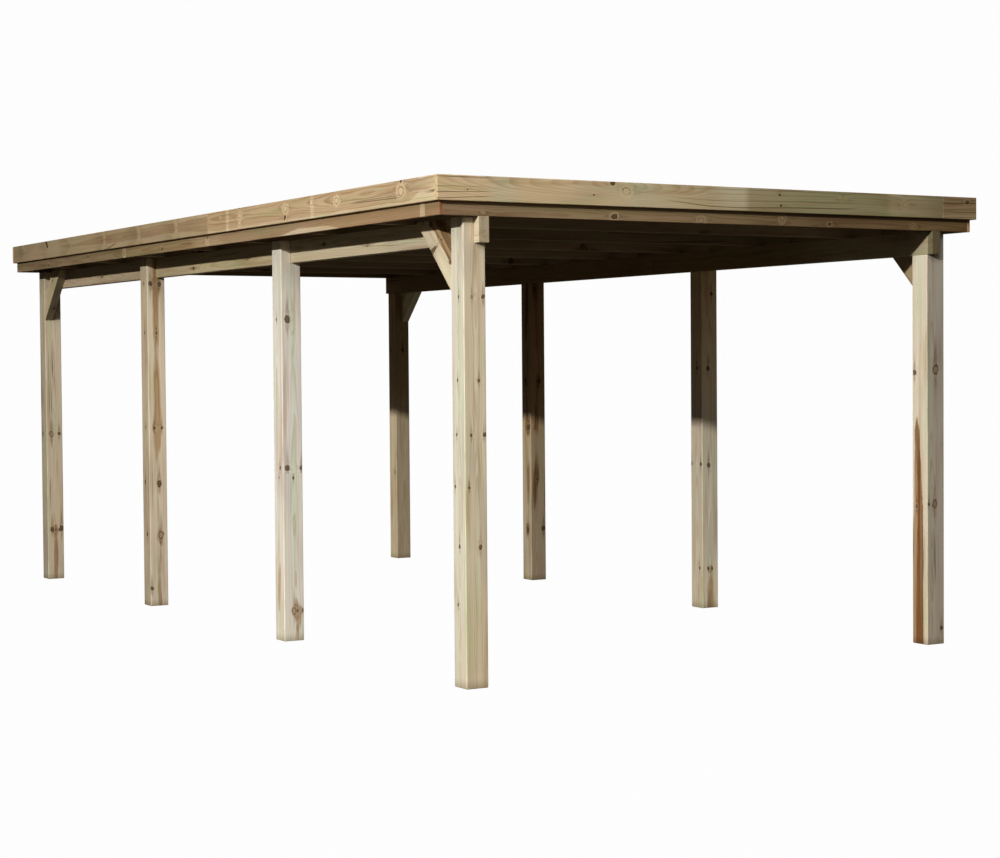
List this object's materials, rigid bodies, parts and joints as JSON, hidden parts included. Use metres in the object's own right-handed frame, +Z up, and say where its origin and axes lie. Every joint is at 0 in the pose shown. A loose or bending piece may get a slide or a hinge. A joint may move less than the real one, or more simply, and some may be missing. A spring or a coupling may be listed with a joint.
{
  "type": "carport",
  "caption": "Free-standing flat-roofed timber carport on square posts, with lapped side beams, corner knee braces, cross joists and a boarded roof behind a two-step fascia.",
  "frame": {"origin": "floor level, in the middle of the plan", "axes": "+Z up, +Y along the rows of posts from the drive-in front to the back, +X across the width to the right"},
  "size_m": [3.211, 6.245, 2.335],
  "materials": {
    "posts": "pressure-treated pine, planed, weathered",
    "beams": "pressure-treated pine, planed",
    "braces": "pressure-treated pine, planed",
    "joists": "pressure-treated pine, planed",
    "rim": "pressure-treated pine, planed",
    "fascia": "pressure-treated pine, planed",
    "roof_boards": "pine boards, planed",
    "roofing_felt": "mineral-surfaced bitumen felt, matt"
  },
  "bodies": {
    "root": {"left_post_1": "posts", "left_post_2": "posts", "left_post_3": "posts", "left_post_4": "posts", "right_post_1": "posts", "right_post_2": "posts", "right_post_3": "posts", "right_post_4": "posts", "left_beam_front": "beams", "left_beam_back": "beams", "right_beam_front": "beams", "right_beam_back": "beams", "left_brace_front": "braces", "left_brace_back": "braces", "right_brace_front": "braces", "right_brace_back": "braces", "joist_1": "joists", "joist_2": "joists", "joist_3": "joists", "joist_4": "joists", "joist_5": "joists", "joist_6": "joists", "joist_7": "joists", "left_rim_front": "rim", "left_rim_back": "rim", "right_rim_front": "rim", "right_rim_back": "rim", "left_fascia_front": "fascia", "left_fascia_back": "fascia", "right_fascia_front": "fascia", "right_fascia_back": "fascia", "front_rim": "rim", "front_fascia_long": "fascia", "front_fascia_short": "fascia", "back_rim": "rim", "back_fascia_long": "fascia", "back_fascia_short": "fascia", "roof_deck": "roof_boards", "roof_felt": "roofing_felt"}
  },
  "joints": []
}
